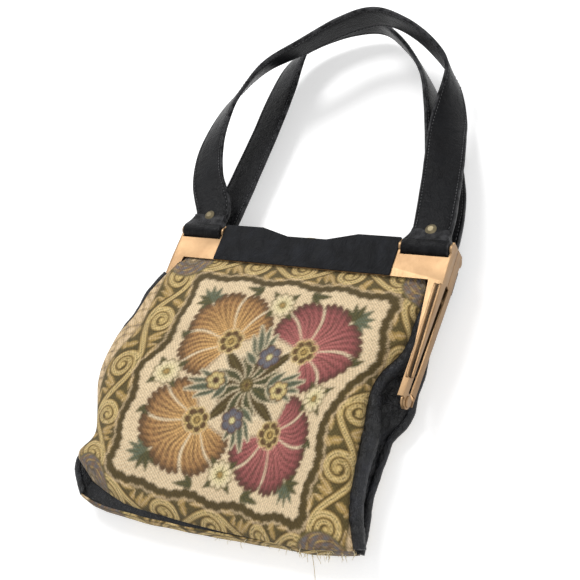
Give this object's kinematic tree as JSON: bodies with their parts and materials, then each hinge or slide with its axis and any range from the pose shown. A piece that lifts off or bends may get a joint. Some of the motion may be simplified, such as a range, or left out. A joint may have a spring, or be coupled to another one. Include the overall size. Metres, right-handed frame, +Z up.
{
  "type": "carpet bag",
  "caption": "Tapestry handbag on a hinged metal frame with a tipping clasp and two leather strap handles, lying flat on its back",
  "frame": {"origin": "middle of the flat on the rear panel that the bag rests on", "axes": "X across the bag, Y from the base towards the handles, Z up, out of the front panel"},
  "size_m": [0.2763, 0.5065, 0.0758],
  "materials": {
    "gilt_brass": "satin",
    "old_brass": "worn",
    "cover_leather": "matte",
    "strap_leather": "satin",
    "gusset_leather": "crinkled satin",
    "tapestry": "woven",
    "lining_cloth": "plain weave"
  },
  "bodies": {
    "bag": {"rear_frame": "gilt_brass", "rear_left_bar": "gilt_brass", "rear_right_bar": "gilt_brass", "left_pivot": "gilt_brass", "right_pivot": "gilt_brass", "rear_cover": "cover_leather", "front_panel": "tapestry", "rear_panel": "tapestry", "left_gusset": "gusset_leather", "right_gusset": "gusset_leather", "base_panel": "tapestry", "lining": "lining_cloth", "front_left_piping": "gusset_leather", "front_right_piping": "gusset_leather", "rear_left_piping": "gusset_leather", "rear_right_piping": "gusset_leather", "clasp_catch": "old_brass"},
    "opening_frame": {"front_frame": "gilt_brass", "front_left_bar": "gilt_brass", "front_right_bar": "gilt_brass", "front_cover": "cover_leather", "clasp_bracket": "old_brass", "clasp_pin": "old_brass"},
    "front_strap": {"front_handle": "strap_leather", "front_left_rivet": "old_brass", "front_right_rivet": "old_brass"},
    "rear_strap": {"rear_handle": "strap_leather", "rear_left_rivet": "old_brass", "rear_right_rivet": "old_brass"},
    "clasp_lever": {"clasp_tab": "old_brass"}
  },
  "joints": [
    {"name": "frame_hinge", "type": "hinge", "parent": "bag", "child": "opening_frame", "pos_m": [0, 0.0216, 0.0313], "axis": [1, 0, 0], "range_deg": [0, 60]},
    {"name": "front_handle_swing", "type": "hinge", "parent": "opening_frame", "child": "front_strap", "pos_m": [0, 0.1425, 0.0405], "axis": [1, 0, 0], "range_deg": [0, 140]},
    {"name": "rear_handle_swing", "type": "hinge", "parent": "bag", "child": "rear_strap", "pos_m": [0, 0.1425, 0.0221], "axis": [-1, 0, 0], "range_deg": [0, 140]},
    {"name": "clasp_tip", "type": "hinge", "parent": "opening_frame", "child": "clasp_lever", "pos_m": [0, 0.132, 0.0356], "axis": [1, 0, 0], "range_deg": [0, 15], "stiffness_Nm_per_rad": 0.05, "springref_deg": -5.73}
  ]
}
